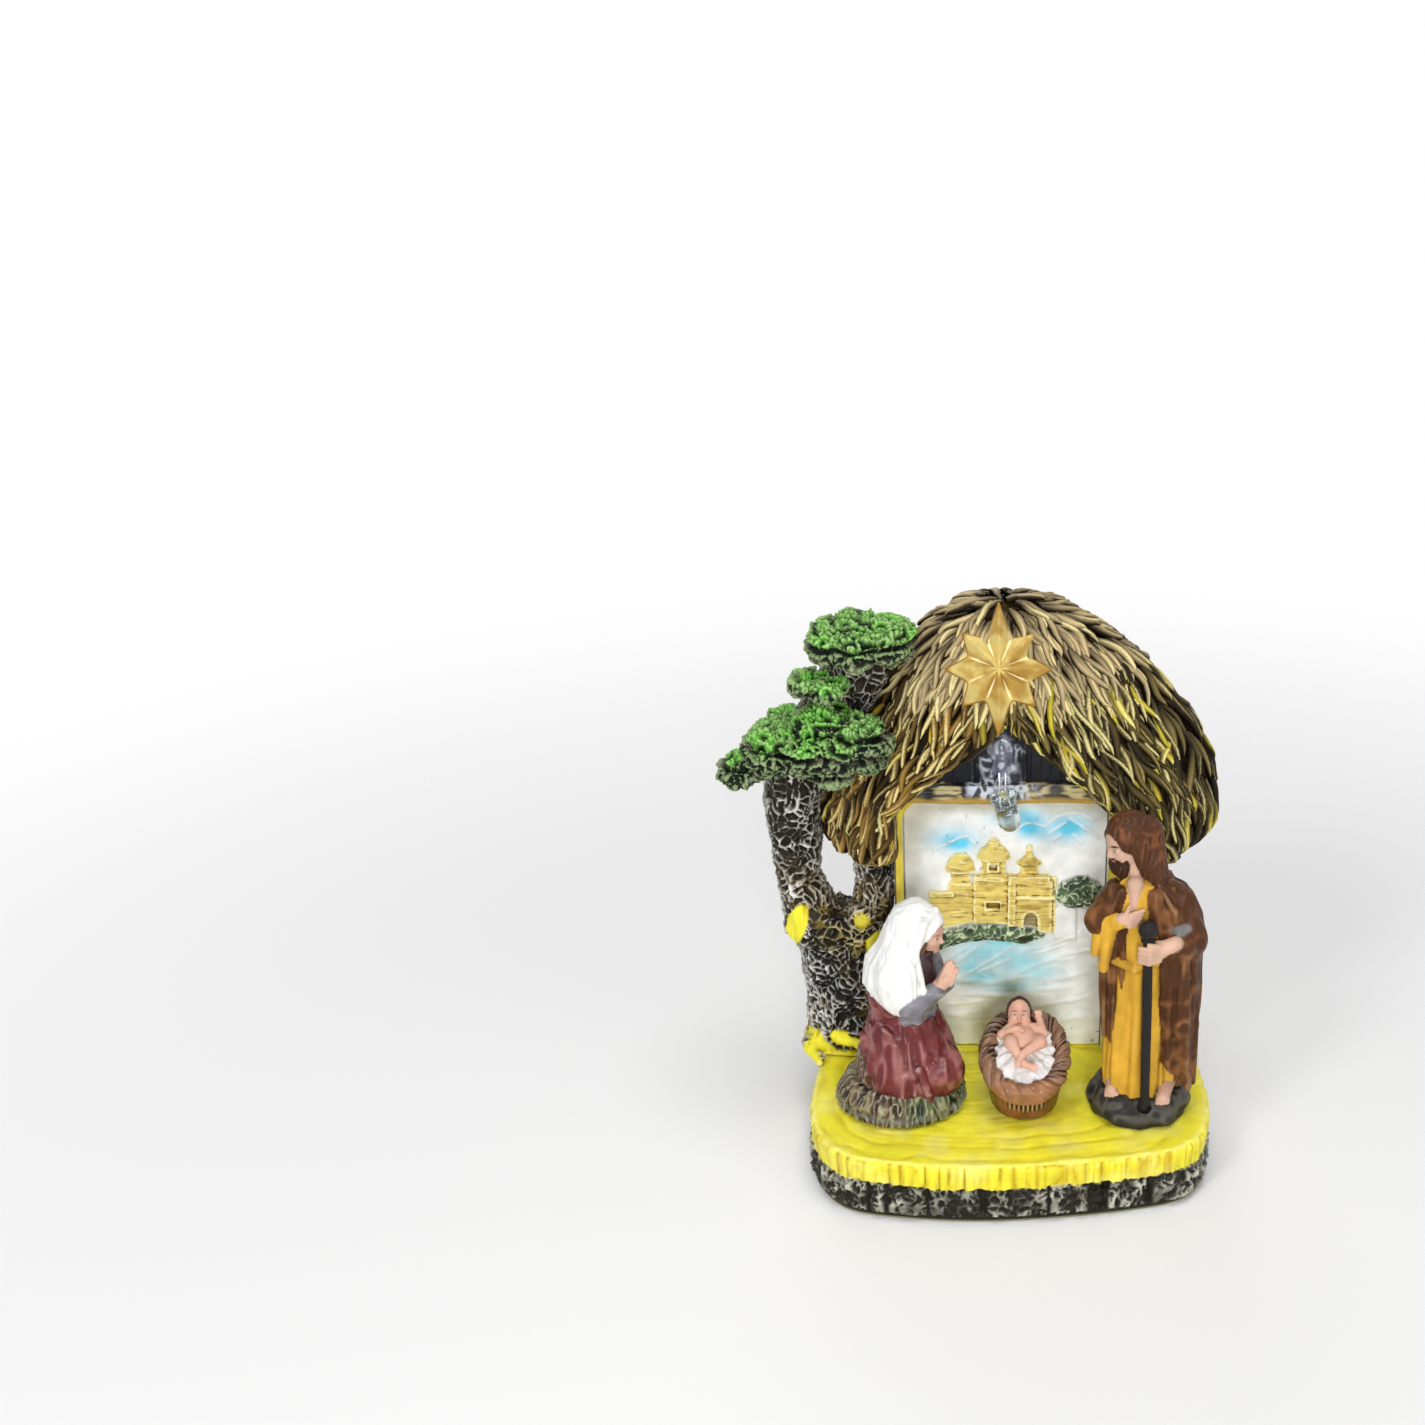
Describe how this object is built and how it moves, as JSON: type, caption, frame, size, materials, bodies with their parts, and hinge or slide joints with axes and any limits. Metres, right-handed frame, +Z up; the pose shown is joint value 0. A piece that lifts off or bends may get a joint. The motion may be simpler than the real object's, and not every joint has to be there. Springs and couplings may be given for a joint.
{
  "type": "light-up nativity ornament",
  "caption": "Light-up nativity ornament: a thatched hut and forked tree on a log slice, with cast figures, a manger, a gilt star and an LED lamp over a painted back scene.",
  "frame": {"origin": "middle of the ornament's plan box, on its resting face", "axes": "+X to the viewer's right, +Y to the back of the hut, +Z up"},
  "size_m": [0.1054, 0.0582, 0.1211],
  "materials": {
    "cut_wood": "satin",
    "wall_wood": "satin",
    "backdrop_paint": "satin",
    "town_gilt": "satin",
    "gable_black": "satin",
    "thatch_straw": "satin",
    "star_gilt": "satin",
    "bark": "satin",
    "leaf_green": "satin",
    "mother_robe": "satin",
    "father_cloak": "satin",
    "staff_black": "gloss",
    "wicker": "satin",
    "baby_cloth": "satin",
    "clear_lens": "gloss",
    "lead_tin": "satin",
    "red_skin": "satin",
    "black_skin": "satin",
    "clear_glue": "satin",
    "case_black": "satin",
    "screw_steel": "satin",
    "cell_steel": "satin",
    "contact_brass": "satin"
  },
  "bodies": {
    "ornament": {"base_slab": "cut_wood", "back_wall": "wall_wood", "backdrop_panel": "backdrop_paint", "town_relief": "town_gilt", "gable_board": "gable_black", "thatch_roof": "thatch_straw", "star": "star_gilt", "tree_trunk": "bark", "foliage_low": "leaf_green", "foliage_middle": "leaf_green", "foliage_top": "leaf_green", "mother_figure": "mother_robe", "father_figure": "father_cloak", "father_staff": "staff_black", "manger": "wicker", "baby_figure": "baby_cloth", "led_lamp": "clear_lens", "led_lead_long": "lead_tin", "led_lead_short": "lead_tin", "wire_red": "red_skin", "wire_black": "black_skin", "glue_bead": "clear_glue", "battery_case": "case_black", "coin_cell": "cell_steel", "negative_spring": "contact_brass", "positive_clip": "contact_brass", "switch_body": "cell_steel"},
    "cover": {"battery_cover": "case_black", "cover_screw": "screw_steel"},
    "slider": {"switch_slider": "black_skin"}
  },
  "joints": [
    {"name": "cover_lift", "type": "slide", "parent": "ornament", "child": "cover", "axis": [0, 0, -1], "range_m": [0, 0.02]},
    {"name": "switch_slide", "type": "slide", "parent": "ornament", "child": "slider", "axis": [0, 1, 0], "range_m": [0, 0.002]}
  ]
}
